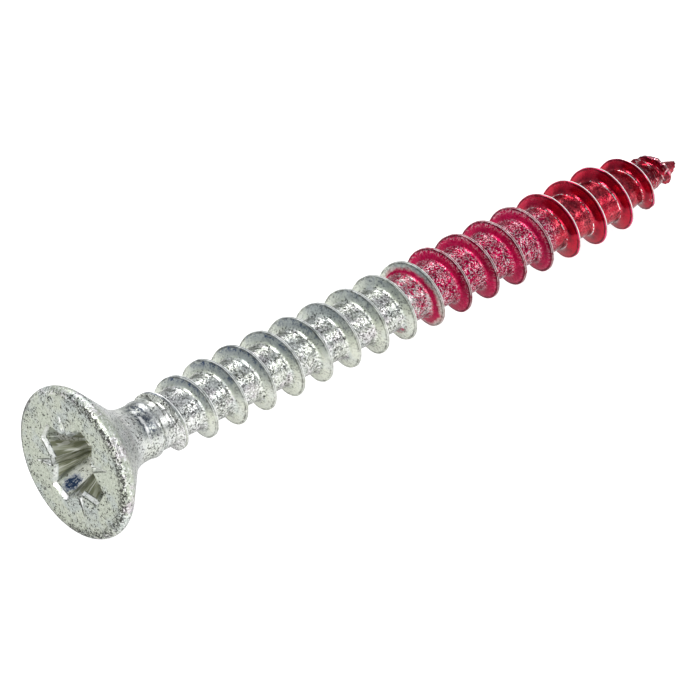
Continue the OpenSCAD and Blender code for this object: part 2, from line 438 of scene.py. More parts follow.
# %% Roll the thread
shank = bpy.data.objects.new("shank", bpy.data.meshes.new("shank"))
bpy.context.scene.collection.objects.link(shank)
modifier = shank.modifiers.new("rolled_thread", "NODES")
modifier.node_group = thread_tree
for identifier, value in thread_inputs.items():
    modifier[identifier] = value
bpy.context.view_layer.update()
depsgraph = bpy.context.evaluated_depsgraph_get()
shank_mesh = bpy.data.meshes.new_from_object(shank.evaluated_get(depsgraph))
bpy.data.objects.remove(shank)
bpy.data.objects.remove(profile_holder)
print("shank:", len(shank_mesh.vertices), "points,", len(shank_mesh.polygons), "faces")

# %% [markdown]
# ## The head
# On the real screw the head is forged from the wire, and a punch makes the recess at the same blow.
# A boolean cut would leave ragged faces along the wings. So the head is a loft: rings with the same
# number of points run from the bottom of the recess, over the face and the rim, to the end of the
# neck, and the corners of the wings keep their own lines.

# %% Driving sizes of the head
HEAD_R = 3.925
RIM_R = 0.38
CONE_LEAN = 45
THROAT_R = 2.2
LIP_H = 0.05
LIP_W = 0.35
RECESS_TURN = 22
RECESS_DEPTH = 2.3
WING_END_DEPTH = 0.8 * RECESS_DEPTH
MOUTH_CLOSES = 1.3 * RECESS_DEPTH
EDGE_DEPTH = 0.26
MARK_R = 2.72
MARK_DEPTH = 0.14
RIB_HALF = 0.17
RIM_IN = HEAD_R - RIM_R
HALF_SECTOR = COLUMNS // 8
WALL_RINGS = 12
RIM_RINGS = 13
CONE_RINGS = 8
THROAT_RINGS = 12
LIP_RINGS = 8
LIP_ROUNDNESS = 0.7
print("head:", 2 * HEAD_R, "mm across, its recess", RECESS_DEPTH, "mm deep")

# %% Sizes of the recess, at the outer edge of its mouth and on the walls below it
MOUTH = {"reach": 2.32, "bottom": 2.32, "wing": 0.58, "corner": 1.5, "rib": (1.62, 1.62)}
WALLS = {"reach": 2.26, "bottom": 1.34, "wing": 0.48, "corner": 1.44, "rib": (1.6, 1.14)}
# Steps of the rounded edge, as share of the way out and share of its depth
MOUTH_STEPS = ((0.08, 0.87), (0.45, 0.47), (0.8, 0.13), (0.93, 0.04), (1.0, 0.0))
print("recess:", 2 * MOUTH["reach"], "mm across at the face")


def level(x, x0, x1, y0, y1):
    """Straight line from y0 to y1, held level beyond both ends."""
    return y0 + (y1 - y0) * min(max((x - x0) / (x1 - x0), 0), 1)


# %% Outline of the recess at a depth
DIAGONAL = complex(1, 1) / math.sqrt(2)
LEAST_GAP = 0.02
SHORTEST_SIDE = 0.05
# How far the end of a wing is cut back near its corner, and at which share of its half width
ROUNDED_END = ((0.0, 0.0), (0.0, 0.45), (0.0, 0.85), (0.012, 0.95), (0.04, 1.0))
# The same for the rib slot
ROUNDED_RIB = ((0.02, 0.97), (0, 0.8), (0, 0.4), (0, 0))


def half_sector(depth, size):
    """Points from the middle of a wing to the corner between two wings, as x + iy."""
    reach = level(depth, 0, WING_END_DEPTH, size["reach"], size["bottom"])
    wide = size["wing"]
    # The flared mouth is a star that shrinks with depth, and shows only outside the wings
    star = 1 - depth / MOUTH_CLOSES
    point = (star * size["reach"], star * wide)
    corner = star * size["corner"] / math.sqrt(2)
    spread = (point[0] - corner) / max(corner - point[1], 1e-6)
    slope = (spread - 1) / (spread + 1)
    if corner < wide:
        corner, slope = wide, 1.0
    # The rib slot cuts the corner, measured along and across the diagonal
    foot = complex(corner * math.sqrt(2) + slope * RIB_HALF, -RIB_HALF)
    slot = max(level(depth, 0, WING_END_DEPTH, *size["rib"]), foot.real + LEAST_GAP)
    foot = foot * DIAGONAL
    run = min(max((wide - point[1]) / max(corner - point[1], 1e-6), 0), 1)
    meet = min(point[0] + (corner - point[0]) * run, reach - SHORTEST_SIDE)
    meet = max(meet, foot.real + LEAST_GAP)
    end = [complex(reach - cut, wide * share) for cut, share in ROUNDED_END]
    side = [end[-1] + (meet - end[-1].real) * k / 3 for k in (1, 2, 3)]
    flare = [side[-1] + (foot - side[-1]) * k / 4 for k in (1, 2, 3, 4)]
    rib = [complex(slot - cut, -RIB_HALF * share) * DIAGONAL for cut, share in ROUNDED_RIB]
    return end + side + flare + rib


def whole_ring(half):
    """A half sector, mirrored and repeated four times, and turned as the recess is."""
    sector = half[:-1] + [complex(z.imag, z.real) for z in reversed(half[1:])]
    ring = np.array([z * 1j**q for q in range(4) for z in sector])
    return ring * np.exp(1j * math.radians(RECESS_TURN))


print("points round the recess:", len(whole_ring(half_sector(0, MOUTH))))

# %% Rings of the recess, from its bottom to its mouth


def recess_rings():
    """Rings as (x + iy of each point, depth of each point)."""
    rings = []
    deepest = whole_ring(half_sector(WING_END_DEPTH, WALLS))
    for share in (0.25, 0.5, 0.75):
        depth = RECESS_DEPTH - (RECESS_DEPTH - WING_END_DEPTH) * share
        rings.append((deepest * share, np.full(COLUMNS, depth)))
    for depth in np.linspace(WING_END_DEPTH, EDGE_DEPTH, WALL_RINGS):
        rings.append((whole_ring(half_sector(depth, WALLS)), np.full(COLUMNS, depth)))
    mouth = whole_ring(half_sector(0, MOUTH))
    inner = whole_ring(half_sector(EDGE_DEPTH, WALLS))
    for share, depth in MOUTH_STEPS:
        rings.append((inner + (mouth - inner) * share, np.full(COLUMNS, depth * EDGE_DEPTH)))
    return rings


recess = recess_rings()
print("rings of the recess:", len(recess))

# %% Rings of the face, with the four marks cut into it
STEADY_COLUMNS = 4
FACE_STEPS = 14
FACE_SPREAD = 1.1


def face_rings(mouth):
    """Rings from the mouth of the recess to the rounded rim. The marks taper to nothing."""
    rings = []
    even = np.exp(1j * (2 * np.pi * np.arange(COLUMNS) / COLUMNS))
    even = even * np.exp(1j * math.radians(RECESS_TURN))
    # How far each point is from the nearest diagonal, and along it, with the recess unturned
    step = np.arange(COLUMNS) % (2 * HALF_SECTOR) - HALF_SECTOR
    quarter = np.exp(1j * (np.pi / 4 + np.pi / 2 * (np.arange(COLUMNS) // (2 * HALF_SECTOR))))
    quarter = quarter * np.exp(1j * math.radians(RECESS_TURN))
    local = mouth / quarter
    near_mark = np.abs(step) < STEADY_COLUMNS
    for k in range(FACE_STEPS):
        out = (k / FACE_STEPS) ** FACE_SPREAD
        ring = mouth + (RIM_IN * even - mouth) * out
        along_mark = local.real + (RIM_IN - local.real) * out
        left = np.clip((MARK_R - along_mark) / (MARK_R - MOUTH["rib"][0]), 0, 1)
        straight = (along_mark + 1j * local.imag * (0.25 + 0.75 * left)) * quarter
        beyond = np.clip((along_mark - MARK_R) / (RIM_IN - MARK_R), 0, 1)
        ring = np.where(near_mark, straight + (ring - straight) * beyond, ring)
        across_mark = np.abs(local.imag) / RIB_HALF
        deep = MARK_DEPTH * left * np.clip(1 - across_mark, 0, 1)
        rings.append((ring, np.where(near_mark, deep, 0)))
    return rings


flat = face_rings(recess[-1][0])[1:]
print("rings of the face:", len(flat))

# %% Rings of the rim, the cone, the throat and the neck


def turned_rings():
    """The turned outside, whose points slide from the recess's angles to the shank's."""
    lean = math.radians(CONE_LEAN)
    outline = [
        (RIM_IN + RIM_R * math.sin(a), RIM_R - RIM_R * math.cos(a))
        for a in np.linspace(0, math.pi / 2 + lean, RIM_RINGS)
    ]
    edge_r, edge_s = outline[-1]
    cone_r = NECK_R + THROAT_R * (1 - math.cos(lean))
    throat_s = edge_s + (edge_r - cone_r) + THROAT_R * math.sin(lean)
    cone_s = throat_s - THROAT_R * math.sin(lean)
    outline += [
        (edge_r + (cone_r - edge_r) * k / CONE_RINGS, edge_s + (cone_s - edge_s) * k / CONE_RINGS)
        for k in range(1, CONE_RINGS)
    ]
    outline += [
        (NECK_R + THROAT_R * (1 - math.cos(a)), throat_s - THROAT_R * math.sin(a))
        for a in np.linspace(lean, 0, THROAT_RINGS)
    ]
    lip = NECK_END - LIP_W
    outline += [(NECK_R, throat_s + (lip - throat_s) * k / 4) for k in (1, 2, 3, 3.9)]
    for k in range(1, LIP_RINGS):
        share = k / LIP_RINGS
        raised = LIP_H * math.sin(math.pi * share) ** LIP_ROUNDNESS
        outline.append((NECK_R + raised, lip + LIP_W * share))
    outline += [(NECK_R - 0.4 * LIP_H, NECK_END), (BLANK_R, SHANK_FROM)]
    rings = []
    for index, (r, s) in enumerate(outline):
        turn = math.radians(RECESS_TURN) * (1 - index / (len(outline) - 1))
        spin = np.exp(1j * (2 * np.pi * np.arange(COLUMNS) / COLUMNS + turn))
        rings.append((r * spin, np.full(COLUMNS, s)))
    return rings


turned = turned_rings()
print("rings of the turned outside:", len(turned))

# %% Put the rings together
rings = recess + flat + turned
head_points = [(0, 0, RECESS_DEPTH)]
for ring, depth in rings:
    head_points += [(z.real, z.imag, s) for z, s in zip(ring, depth)]


def ring_point(ring, column):
    return 1 + ring * COLUMNS + column % COLUMNS


head_faces = [(0, ring_point(0, c), ring_point(0, c + 1)) for c in range(COLUMNS)]
head_faces += [
    (ring_point(k, c), ring_point(k + 1, c), ring_point(k + 1, c + 1), ring_point(k, c + 1))
    for k in range(len(rings) - 1)
    for c in range(COLUMNS)
]
print("head:", len(rings), "rings,", len(head_faces), "faces")

# %% [markdown]
# ## One closed skin
# The last ring of the head and the first ring of the shank have the same points, so merging them
# closes the skin, as on the real screw, which has no joint there. The two attributes of the thread
# stay with the mesh, because the plating and the lacquer wear on the crests and gather in the
# roots, and only the side of a crest that faces the point gets a painted white highlight line.

# %% Join head and shank
skin = bpy.data.meshes.new("screw_skin")
shank_points = [tuple(v.co) for v in shank_mesh.vertices]
shank_faces = [tuple(i + len(head_points) for i in f.vertices) for f in shank_mesh.polygons]
skin.from_pydata(head_points + shank_points, [], head_faces + shank_faces)
for name in ("rise", "point_side"):
    values = np.zeros(len(skin.vertices), dtype=np.float32)
    shank_values = np.zeros(len(shank_points), dtype=np.float32)
    shank_mesh.attributes[name].data.foreach_get("value", shank_values)
    values[len(head_points) :] = shank_values
    skin.attributes.new(name, "FLOAT", "POINT").data.foreach_set("value", values)
work = bmesh.new()
work.from_mesh(skin)
bmesh.ops.remove_doubles(work, verts=work.verts, dist=MERGE_WITHIN)
bmesh.ops.recalc_face_normals(work, faces=work.faces)
open_edges = sum(1 for e in work.edges if len(e.link_faces) != 2)
volume = work.calc_volume(signed=True)
work.to_mesh(skin)
work.free()
print("edges without two faces:", open_edges, " volume in cubic mm:", round(volume, 1))

# %% Lay it down and smooth it
SHARP_FROM = 38
skin.transform(lay_down)
skin.shade_smooth()
skin.set_sharp_from_angle(angle=math.radians(SHARP_FROM))
skin.materials.clear()
skin.materials.append(finish_material)
screw = bpy.data.objects.new("screw_skin", skin)
bpy.context.scene.collection.objects.link(screw)
triangles = sum(len(f.vertices) - 2 for f in skin.polygons)
print("screw_skin:", len(skin.vertices), "points,", triangles, "triangles")

# %% [markdown]
# ## Zinc and lacquer
# Zinc plating is a satin metal, pale and a little green. It has fine dark specks, blue stains, and
# roots that sparkle. The lacquer is a clear red coat over the same metal: deep in the roots, thin
# on the crests, and darker and glossier at the point, which was dipped twice. Each could be a
# material of its own, but the lacquer ends at a line drawn round the screw and not at an edge of
# the mesh. So one material holds both, and masks share the surface out between them.

# %% A tree that knows the screw's own axes


class Finish(Graph):
    """The material's tree, with its patterns placed in millimetres along the screw's own axes."""

    def __init__(self, material):
        material.use_nodes = True
        material.node_tree.nodes.clear()
        super().__init__(material.node_tree)
        spin = own_axes.transposed()
        self.own = self.add(
            "ShaderNodeMapping",
            {"vector_type": "POINT"},
            Vector=self.add("ShaderNodeTexCoord", {}).out("Object"),
            Location=-(spin @ (head_centre / MM)),
            Rotation=spin.to_euler(),
            Scale=(1 / MM,) * 3,
        )
        spot = self.add("ShaderNodeSeparateXYZ", {}, self.own)
        self.x, self.y, self.s = spot.out("X"), spot.out("Y"), spot.out("Z")
        self.r = (self.x * self.x + self.y * self.y) ** 0.5
        # 1 on the side that it lies on, and -1 on top
        self.under = self.x / self.r
        # Angle from the nearest diagonal of the recess
        turn = self.y.maths("ARCTAN2", self.x) - math.radians(RECESS_TURN + 45)
        self.turn = turn.maths("WRAP", math.pi / 4, -math.pi / 4)
        # Distances from the axis along the two pairs of wings
        self.u = self.side(RECESS_TURN) * self.r
        self.v = self.side(RECESS_TURN + 90) * self.r
        # The two attributes that came with the mesh
        self.rise = self.attribute("rise")
        self.point_side = self.attribute("point_side").ramp(0.4, 0.6)
        # The own frame, shaken a little, so that dots aren't quite round
        shake = self.add("ShaderNodeTexNoise", {}, Vector=self.own, Scale=9.0, Detail=2.0)
        shift = self.add("ShaderNodeVectorMath", {"operation": "SCALE"}, shake.out("Color"), Scale=0.22)
        self.shaken = self.add("ShaderNodeVectorMath", {"operation": "ADD"}, self.own, shift)

    def attribute(self, name):
        return self.add("ShaderNodeAttribute", {"attribute_name": name}).out("Fac")

    def side(self, degrees):
        """1 on the side of the screw at that angle round its axis, and -1 on the far side."""
        a = math.radians(degrees)
        return (self.x * math.cos(a) + self.y * math.sin(a)) / self.r

    def stretched(self, amounts):
        """The own frame with each axis stretched, for marks that run round or along the screw."""
        return self.add("ShaderNodeVectorMath", {"operation": "MULTIPLY"}, self.own, amounts)

    def distance(self, place, centre):
        return self.add("ShaderNodeVectorMath", {"operation": "DISTANCE"}, place, centre).out("Value")

    def noise(self, per_mm, detail=2.0, roughness=0.5, where=None):
        return self.add(
            "ShaderNodeTexNoise",
            {},
            Vector=where or self.own,
            Scale=per_mm,
            Detail=detail,
            Roughness=roughness,
        )

    def marks(self, name, where=None):
        """A mask of uneven marks, by their name in the table of marks."""
        per_mm, detail, roughness, none, full = MARKS[name]
        return self.noise(per_mm, detail, roughness, where).ramp(none, full)

    def line(self, measure, middle, edge, core):
        """A thin line where a measure passes its middle value. It fades from its core to its edge."""
        return (measure - middle).maths("ABSOLUTE").ramp(edge, core)

    def veins(self, per_mm, width):
        """A net of thin lines, where a noise crosses its middle value."""
        return self.line(self.noise(per_mm, 2, 0.6), 0.5, width, 0.3 * width)

    def dots(self, per_mm, radius, share):
        """Small dots, one in a share of the cells of a grid of random points."""
        cells = self.add("ShaderNodeTexVoronoi", {}, Vector=self.shaken, Scale=per_mm)
        lot = self.add("ShaderNodeSeparateColor", {}, cells.out("Color"))
        edge = radius * per_mm
        return cells.ramp(edge * 1.25, edge * 0.75) * (share - lot).ramp(0.0, 0.02)

    def blend(self, share, first, second, kind="MIX"):
        """The first colour where the share is 0, and the second where it is 1."""
        settings = {"data_type": "RGBA", "blend_type": kind}
        return self.add("ShaderNodeMix", settings, Factor=share, A=first, B=second)


finish = Finish(finish_material)
print("nodes that place the patterns:", len(finish.nodes))

# %% Table of marks
# Each entry is: marks per mm, detail, roughness, and the noise at which the mask is 0 and is 1
MARKS = {
    "yellow patches": (0.6, 3, 0.5, 0.42, 0.58),
    "blue patches": (0.7, 3, 0.6, 0.46, 0.6),
    "violet patches": (1.0, 3, 0.7, 0.5, 0.62),
    "bright grain": (8.0, 3, 0.8, 0.53, 0.60),
    "dark grain": (8.0, 3, 0.8, 0.47, 0.38),
    "speckled patches": (0.8, 3, 0.6, 0.4, 0.6),
    "crowded specks": (7.0, 3, 0.8, 0.52, 0.48),
    "broken light and shade on the marks": (4.0, 2, 0.5, 0.38, 0.55),
    "stain near the crest": (3.0, 5, 1.0, 0.49, 0.54),
    "stain on the neck": (4.6, 5, 0.95, 0.43, 0.51),
    "painted highlight on the neck": (3.0, 3, 0.7, 0.42, 0.5),
    "dark turned lines": (1.0, 3, 0.7, 0.55, 0.60),
    "bright turned lines": (1.0, 2, 0.6, 0.54, 0.60),
    "drawn lines": (5.0, 2, 0.6, 0.42, 0.58),
    "drawn edge": (5.0, 2, 0.6, 0.36, 0.5),
    "bright drawn lines": (11.0, 1, 0.5, 0.56, 0.62),
    "painted highlight on the facets": (5.0, 4, 0.8, 0.42, 0.54),
    "outline of the facets": (5.0, 3, 0.8, 0.42, 0.5),
    "streaks in the blue stain": (9.0, 3, 0.8, 0.34, 0.46),
    "dark edge line": (2.6, 3, 0.7, 0.38, 0.58),
    "dark valley line": (2.6, 3, 0.7, 0.35, 0.5),
    "bright lips": (2.6, 3, 0.7, 0.62, 0.50),
    "painted shade beside the foot": (1.3, 3, 0.6, 0.42, 0.62),
    "shaded flanks": (0.9, 2, 0.5, 0.4, 0.55),
    "dark roots": (1.6, 3, 0.6, 0.46, 0.6),
    "bare metal": (6.5, 4, 0.8, 0.585, 0.61),
    "bare patches": (1.3, 3, 0.6, 0.40, 0.56),
    "embers": (2.8, 5, 0.85, 0.56, 0.62),
    "dark grain in lacquer": (7.0, 3, 0.8, 0.46, 0.40),
    "dark edge in lacquer": (2.6, 3, 0.7, 0.3, 0.5),
    "glints": (1.5, 4, 0.9, 0.51, 0.54),
    "light crests": (2.0, 3, 0.7, 0.42, 0.55),
    "broken fold": (3.0, 3, 0.7, 0.47, 0.52),
    "unfilled groove": (1.7, 5, 0.8, 0.53, 0.46),
    "worn crests": (2.6, 3, 0.7, 0.66, 0.52),
}
print("kinds of uneven mark:", len(MARKS))

# %% [markdown]
# ### Where each mark lies
# A mask is a number from 0 to 1 at each point of the surface. Most masks here follow the distance
# along the screw, the distance from its axis, or the rise of the thread over its core, so they
# stay on their own form when a size changes. A ramp turns such a measure into a mask, and the
# product of two masks is where both hold. Painting by hand would be as true, but fixed to one mesh.

# %% Masks of the thread
threaded = finish.s.ramp(NECK_END + 0.3, NECK_END + 0.9)
root = (1 - finish.rise.ramp(0.0, 0.25)) * threaded
flank = finish.rise.ramp(0.2, 0.4)
edge_line = finish.rise.band(0.78, 0.88, 0.93, 0.955)
lips = finish.rise.ramp(0.975, 0.995)
veins = finish.veins(4.5, 0.03)
print("masks of the thread: threaded, root, flank, edge_line, lips, veins")

# %% Masks of the head and the neck
rim = finish.r.ramp(3.6, 3.75)
rounded = rim * finish.s.band(0.10, 0.22, 0.6, 0.8)
cone = finish.s.band(0.6, 1.0, 2.8, 3.6)
neck = finish.s.ramp(2.6, 3.4) * (1 - threaded)
rough = (root + rim).least(1.0)
face = finish.s.ramp(MARK_DEPTH + 0.02, MARK_DEPTH) * finish.r.ramp(3.7, 3.6)
edge_of_face = finish.r.ramp(3.3, 3.55) * finish.s.ramp(0.16, 0.10)
edge_of_face = edge_of_face * finish.side(-90).ramp(-0.5, 0.3)
# A dark band of painted shade on one side of the rim
rim_shade = finish.r.ramp(3.60, 3.68) * finish.side(60).ramp(0.2, 0.7) * (1 - cone)
print("masks of the head: rim, rounded, cone, neck, rough, face, edge_of_face, rim_shade")

# %% Masks of the recess
WALL_LEAN = 0.52
reach = WALLS["reach"] - finish.s * WALL_LEAN
recessed = (reach + 0.12 - finish.r).above(0) * (1 - finish.s.above(RECESS_DEPTH + 0.2))
walls = finish.s.ramp(EDGE_DEPTH - 0.03, EDGE_DEPTH + 0.03) * recessed
end_walls = (finish.r - reach).ramp(-0.2, -0.1) * recessed
mouth_edge = finish.s.band(0.04, 0.08, EDGE_DEPTH - 0.04, EDGE_DEPTH) * recessed
# The facets of the mouth that face the light: the end of one wing, and one side of the next two
lit_ends = finish.u.ramp(2.0, 2.1).most(finish.v.maths("ABSOLUTE").ramp(1.0, 1.2))
lit_ends = lit_ends * finish.u.ramp(0.35, 0.45)
facets = mouth_edge * lit_ends
# The edges of those facets, which get lines of painted shade
upper_line = finish.line(finish.s, 0.03, 0.025, 0.012)
lower_line = finish.line(finish.s, EDGE_DEPTH - 0.01, 0.035, 0.015)
facet_lines = upper_line.most(lower_line) * lit_ends * recessed
print("masks of the recess: recessed, walls, end_walls, mouth_edge, facets, facet_lines")

# %% [markdown]
# ### The zinc
# The plating has a ground of pale tones, and over it come the marks in the order in which the
# screw got them: grain and specks from the bath, stains, and the lines that the punch drew. Over
# them lie painted light and shade: on the edges of the marks on the face, on the flanks, on the
# walls and the mouth of the recess, and on the crests. Each function takes the colour so far and
# lays one kind of mark on it, so any of them can be left out or changed without the others.

# %% Tones of the zinc
PALE_GREEN = (0.62, 0.66, 0.55, 1)
PALE_YELLOW = (0.635, 0.67, 0.56, 1)
PALE_BLUE = (0.56, 0.61, 0.60, 1)
PALE_VIOLET = (0.60, 0.50, 0.58, 1)
FACE_TONE = (0.78, 0.78, 0.78, 1)
# Dark for specks, and for painted shade in lines and bands
SPECK_AND_SHADE = (0.05, 0.05, 0.045, 1)
STAIN_BLUE = (0.035, 0.06, 0.13, 1)
STAIN_GREY = (0.30, 0.33, 0.42, 1)
STAIN_NAVY = (0.02, 0.04, 0.085, 1)
STAIN_SLATE = (0.05, 0.065, 0.10, 1)
# A grey of painted shade, for the flanks on top
PAINTED_SHADE_GREY = (0.34, 0.37, 0.38, 1)
# Olive tones of the walls of the recess, darkened as painted shade
OLIVE = (0.23, 0.24, 0.16, 1)
OLIVE_GREY = (0.52, 0.53, 0.43, 1)
# An ivory of painted light, for the lower flanks
PAINTED_LIGHT_IVORY = (0.97, 0.97, 0.86, 1)
# Bright for grain and drawn lines, and for painted highlights
BRIGHT = (0.98, 0.98, 0.96, 1)


def plain_zinc(f):
    """Pale green and yellow, with patches of blue and violet. The forged face is duller."""
    colour = f.blend(f.marks("yellow patches"), PALE_GREEN, PALE_YELLOW)
    colour = f.blend(f.marks("blue patches") * 0.7, colour, PALE_BLUE)
    violet = f.marks("violet patches") * (0.04 + 0.6 * rough + 0.4 * cone)
    colour = f.blend(violet, colour, PALE_VIOLET)
    first_roots = root * (0.3 + 0.3 * f.s.ramp(8.6, 7.2))
    colour = f.blend(cone * 0.58 + neck * 0.42 + first_roots, colour, BRIGHT)
    return f.blend(face, colour, FACE_TONE, "MULTIPLY")


zinc = plain_zinc(finish)
print("zinc is lightest at", BRIGHT[:3], "and darkest at", STAIN_NAVY[:3])

# %% Grain and specks
# Each entry is: dots per mm, their radius in mm, how rare they are, and how dark
SPECKS = ((9.0, 0.046, 1.0, 1.0), (4.0, 0.05, 0.5, 0.9), (1.3, 0.09, 0.4, 0.9))


def specked(f, colour):
    """Fine grain, stronger in the roots and on the rim, and specks that gather in patches. A band
    of painted shade darkens one side of the rim.
    """
    colour = f.blend(f.marks("bright grain") * (0.2 + 0.8 * rough), colour, BRIGHT)
    dark = f.marks("dark grain") * (0.4 + 0.38 * rough) * (1 - 0.6 * rounded)
    colour = f.blend(dark, colour, SPECK_AND_SHADE)
    colour = f.blend(veins * (0.1 + 0.35 * root), colour, SPECK_AND_SHADE)
    # Most of all they lie along the edge of the face
    colour = f.blend(f.marks("crowded specks") * edge_of_face * 0.9, colour, SPECK_AND_SHADE)
    # Painted shade on one side of the rim
    colour = f.blend(rim_shade * 0.75, colour, SPECK_AND_SHADE)
    patch = f.marks("speckled patches") * (1 - 0.8 * rounded)
    share = 0.12 + 0.6 * patch + 0.6 * edge_of_face + 0.15 * neck + 0.08 * flank
    for per_mm, radius, rarer, strength in SPECKS:
        colour = f.blend(f.dots(per_mm, radius, share * rarer) * strength, colour, SPECK_AND_SHADE)
    return colour


zinc = specked(finish, zinc)
print("nodes with the specks:", len(finish.nodes))

# %% Painted light and shade on the edges of the four marks on the face


def lit_and_shaded_marks(f, colour):
    """Each mark between the wings has a painted highlight and a painted shadow on its two edges."""
    across_mark = f.r * f.turn.maths("SINE")
    left = (MARK_R - f.r * f.turn.maths("COSINE")).ramp(0.0, MARK_R - MOUTH["rib"][0])
    on_mark = left.ramp(0.0, 0.1) * face * f.marks("broken light and shade on the marks") * 0.75
    # A painted highlight along one edge of each mark, and a painted shadow along the other
    for edge, tone in ((-1, BRIGHT), (1, SPECK_AND_SHADE)):
        drawn = f.line(across_mark, edge * RIB_HALF * left, 0.05, 0.015)
        colour = f.blend(drawn * on_mark, colour, tone)
    return colour


zinc = lit_and_shaded_marks(finish, zinc)
print("nodes with the edges of the marks:", len(finish.nodes))

# %% Painted light, painted shade and stains of the thread and the neck
CLEANER_FROM = 14.0
CLEANER_TO = 17.0
BLUE_RING_AT = 4.0
BESIDE_THE_RING = (4.2, 4.5, 5.4, 5.9)


def stained_thread(f, colour):
    """The flanks have painted light below and painted grey shade on top, with blue stains near
    the crests of the first turns.
    """
    on_top = f.under.ramp(-0.25, -0.9)
    cleaner = f.s.ramp(CLEANER_FROM, CLEANER_TO)
    # Painted light on the flanks below and at the sides, and painted grey shade on the flanks on top
    colour = f.blend(flank * (1 - on_top) * 0.4, colour, PAINTED_LIGHT_IVORY)
    colour = f.blend(on_top * flank * (0.7 - 0.25 * cleaner), colour, PAINTED_SHADE_GREY)
    near_crest = f.rise.band(0.4, 0.7, 0.93, 0.955)
    stained = (0.12 + 0.85 * f.under.ramp(-0.45, -0.9)) * (1 - 0.55 * cleaner)
    return f.blend(f.marks("stain near the crest") * near_crest * stained, colour, STAIN_BLUE)


def stained_neck(f, colour):
    """A blue stain part of the way round the neck, a streak of painted highlight, and the turned
    lines beside it.
    """
    ring = f.line(f.s, BLUE_RING_AT, 0.7, 0.3) * f.side(198).ramp(0.5, 0.85)
    colour = f.blend(f.marks("stain on the neck") * ring * 0.9, colour, STAIN_SLATE)
    # A painted highlight: a streak of light along part of the neck
    streak = f.line(f.s, BLUE_RING_AT - 0.2, 0.12, 0.04) * f.side(215).ramp(0.6, 0.9)
    colour = f.blend(streak * f.marks("painted highlight on the neck"), colour, BRIGHT)
    beside = f.s.band(*BESIDE_THE_RING)
    lines = f.marks("dark turned lines", f.stretched((0.3, 0.3, 13.0)))
    colour = f.blend(lines * beside * 0.6, colour, SPECK_AND_SHADE)
    shine = f.marks("bright turned lines", f.stretched((0.3, 0.3, 9.0)))
    return f.blend(shine * beside * 0.5, colour, BRIGHT)


zinc = stained_neck(finish, stained_thread(finish, zinc))
print("nodes with the stains:", len(finish.nodes))

# %% The walls and the mouth of the recess
BLUE_STAIN_AT = (1.78, 0.70, 0.75)
STAIN_FLATTER = 0.5


def punched(f, colour):
    """The punch drew the walls in lines, and their dark olive is painted shade, less on the end
    walls. The mouth's edge has streaks of painted sheen, and the facets that face the light have
    painted highlights outlined in painted shade.
    """
    towards = f.add("ShaderNodeCombineXYZ", {}, f.under * 1.6, f.y / f.r * 1.6, f.s * 0.12)
    drawn_and_shaded_walls = f.blend(f.marks("drawn lines", towards), OLIVE, OLIVE_GREY)
    drawn_and_shaded_walls = f.blend(f.marks("bright drawn lines", towards) * 0.45, drawn_and_shaded_walls, BRIGHT)
    # Painted shade in the recess: the walls are darkened to olive, less on the end walls
    colour = f.blend(walls * (1 - 0.7 * end_walls), colour, drawn_and_shaded_walls)
    # Streaks of painted sheen on the edge of the mouth
    colour = f.blend(mouth_edge * f.marks("drawn edge", towards) * 0.4, colour, BRIGHT)
    # Painted highlights on the facets that face the light, outlined in painted shade
    colour = f.blend(facets * f.marks("painted highlight on the facets") * 0.8, colour, BRIGHT)
    return f.blend(facet_lines * f.marks("outline of the facets") * 0.85, colour, SPECK_AND_SHADE)


def blue_stain(f, colour):
    """A dark blue stain with a grey edge, on the wall at the end of one wing."""
    x, y, s = BLUE_STAIN_AT
    away = f.distance(f.stretched((1, 1, STAIN_FLATTER)), (x, y, s * STAIN_FLATTER))
    torn = away + (f.noise(6.0, 4, 0.8) - 0.5) * 0.7
    colour = f.blend(torn.ramp(0.40, 0.30) * recessed * 0.7, colour, STAIN_GREY)
    streaks = f.marks("streaks in the blue stain", f.stretched((1, 1, 0.4)))
    return f.blend(torn.ramp(0.34, 0.22) * recessed * streaks, colour, STAIN_NAVY)


zinc = blue_stain(finish, punched(finish, zinc))
print("nodes with the recess:", len(finish.nodes))

# %% The lips of a crest


def lined_crest(f, colour):
    """A crest has two lips with painted highlights, between thin broken dark lines of painted
    shade.
    """
    # Painted shade along the edges of the crest and between its lips, and painted highlights on the
    # lips
    colour = f.blend(edge_line * f.marks("dark edge line") * 0.75, colour, SPECK_AND_SHADE)
    valley = f.rise.band(0.955, 0.960, 0.965, 0.975)
    colour = f.blend(valley * f.marks("dark valley line") * 0.85, colour, SPECK_AND_SHADE)
    return f.blend(lips * f.marks("bright lips") * 0.9, colour, BRIGHT)


zinc = lined_crest(finish, zinc)
print("nodes in the whole zinc:", len(finish.nodes))

# %% [markdown]
# ### The lacquer
# A clear coat can be drawn as real layers of glass, but one this thin shows only as a tint. Here it
# is a colour of its own, with the metal's light showing where the coat is thin. The first dip is
# crimson, and the roots sparkle through it. Where the point was dipped again, from about 30 mm, the
# red is deeper, a thin painted highlight runs along each foot, and each crest has a painted white
# highlight line on the side of the point. The last ridge, pinched off by the dies, is folded, and
# its folds are painted in dark lines of shade and white lines of highlight.

# %% Tones of the lacquer
CRIMSON = (0.52, 0.004, 0.072, 1)
BLOOD_RED = (0.48, 0.004, 0.028, 1)
DARK_RED = (0.06, 0.0, 0.008, 1)
PINK_SILVER = (1.0, 0.88, 0.93, 1)
EMBER = (1.0, 0.15, 0.19, 1)
LIGHT_CRIMSON = (0.85, 0.03, 0.20, 1)
TWICE_DIPPED_FROM = 30.5
deep = (finish.s + finish.noise(1.0, 2)).ramp(TWICE_DIPPED_FROM + 0.2, TWICE_DIPPED_FROM + 1.2)


